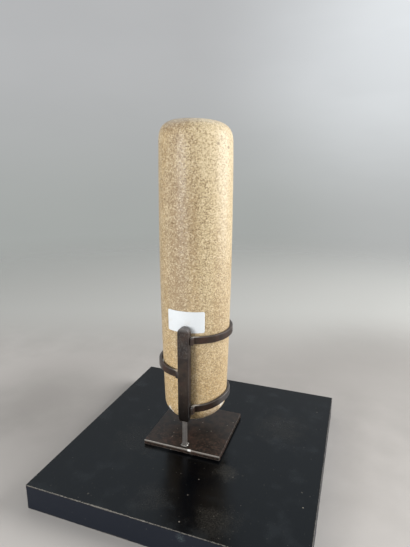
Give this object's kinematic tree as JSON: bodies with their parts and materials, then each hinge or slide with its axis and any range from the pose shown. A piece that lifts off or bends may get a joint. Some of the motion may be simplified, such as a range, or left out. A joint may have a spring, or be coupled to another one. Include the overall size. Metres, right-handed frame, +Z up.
{
  "type": "stone pestle on display mount",
  "caption": "Long tan stone pestle held upright by bent strip arms on a steel spine that slips over a post on a plate, standing on a black square plinth.",
  "frame": {"origin": "middle of the plinth's underside", "axes": "+Z up along the stone, -Y towards the side where the spine bar stands, +X to the right seen from that side"},
  "size_m": [0.25, 0.25, 0.3452],
  "materials": {
    "black_paint": "satin black paint, worn pale along its top edges",
    "plate_patina": "mottled brown patina with paler worn edges",
    "bare_steel": "bare grey steel",
    "weld_bead": "rough fused metal",
    "brown_patina": "brown-black patina on steel",
    "tan_stone": "ground granular stone, semi-matte",
    "white_paper": "matte white paper"
  },
  "bodies": {
    "plinth": {"plinth": "black_paint"},
    "stand": {"base_plate": "plate_patina", "post": "bare_steel", "post_weld": "weld_bead"},
    "cradle": {"spine_bar": "brown_patina", "upper_arm": "brown_patina", "left_arm": "brown_patina", "lower_arm": "brown_patina", "upper_arm_braze": "weld_bead", "left_arm_braze": "weld_bead", "lower_arm_braze": "weld_bead"},
    "pestle": {"stone_pestle": "tan_stone", "paper_label": "white_paper"}
  },
  "joints": [
    {"name": "stand_lift", "type": "slide", "parent": "plinth", "child": "stand", "axis": [0, 0, 1], "range_m": [0, 0.08]},
    {"name": "cradle_lift", "type": "slide", "parent": "stand", "child": "cradle", "axis": [0, 0, 1], "range_m": [0, 0.046]},
    {"name": "pestle_lift", "type": "slide", "parent": "cradle", "child": "pestle", "axis": [0, 0, 1], "range_m": [0, 0.112]}
  ]
}
